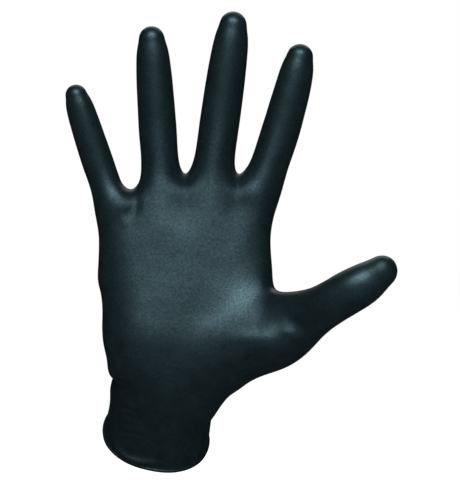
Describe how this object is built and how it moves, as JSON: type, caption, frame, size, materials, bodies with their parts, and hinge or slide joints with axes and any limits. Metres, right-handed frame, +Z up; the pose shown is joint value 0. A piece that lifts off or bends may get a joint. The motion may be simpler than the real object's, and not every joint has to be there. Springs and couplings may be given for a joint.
{
  "type": "nitrile exam glove",
  "caption": "Disposable exam glove of thin black nitrile film in the form it takes on an open hand: smooth finger stalls, close-fitting palm and a short cuff ending in a rolled bead.",
  "frame": {"origin": "centre of the cuff's mouth, where the wrist leaves the glove", "axes": "+Z up along the fingers of the open hand, palm facing -Y, thumb towards +X; the cuff slants back and down from the palm"},
  "size_m": [0.1655, 0.0937, 0.2344],
  "materials": {
    "nitrile": "matte"
  },
  "bodies": {
    "root": {"glove_film": "nitrile"}
  },
  "joints": []
}
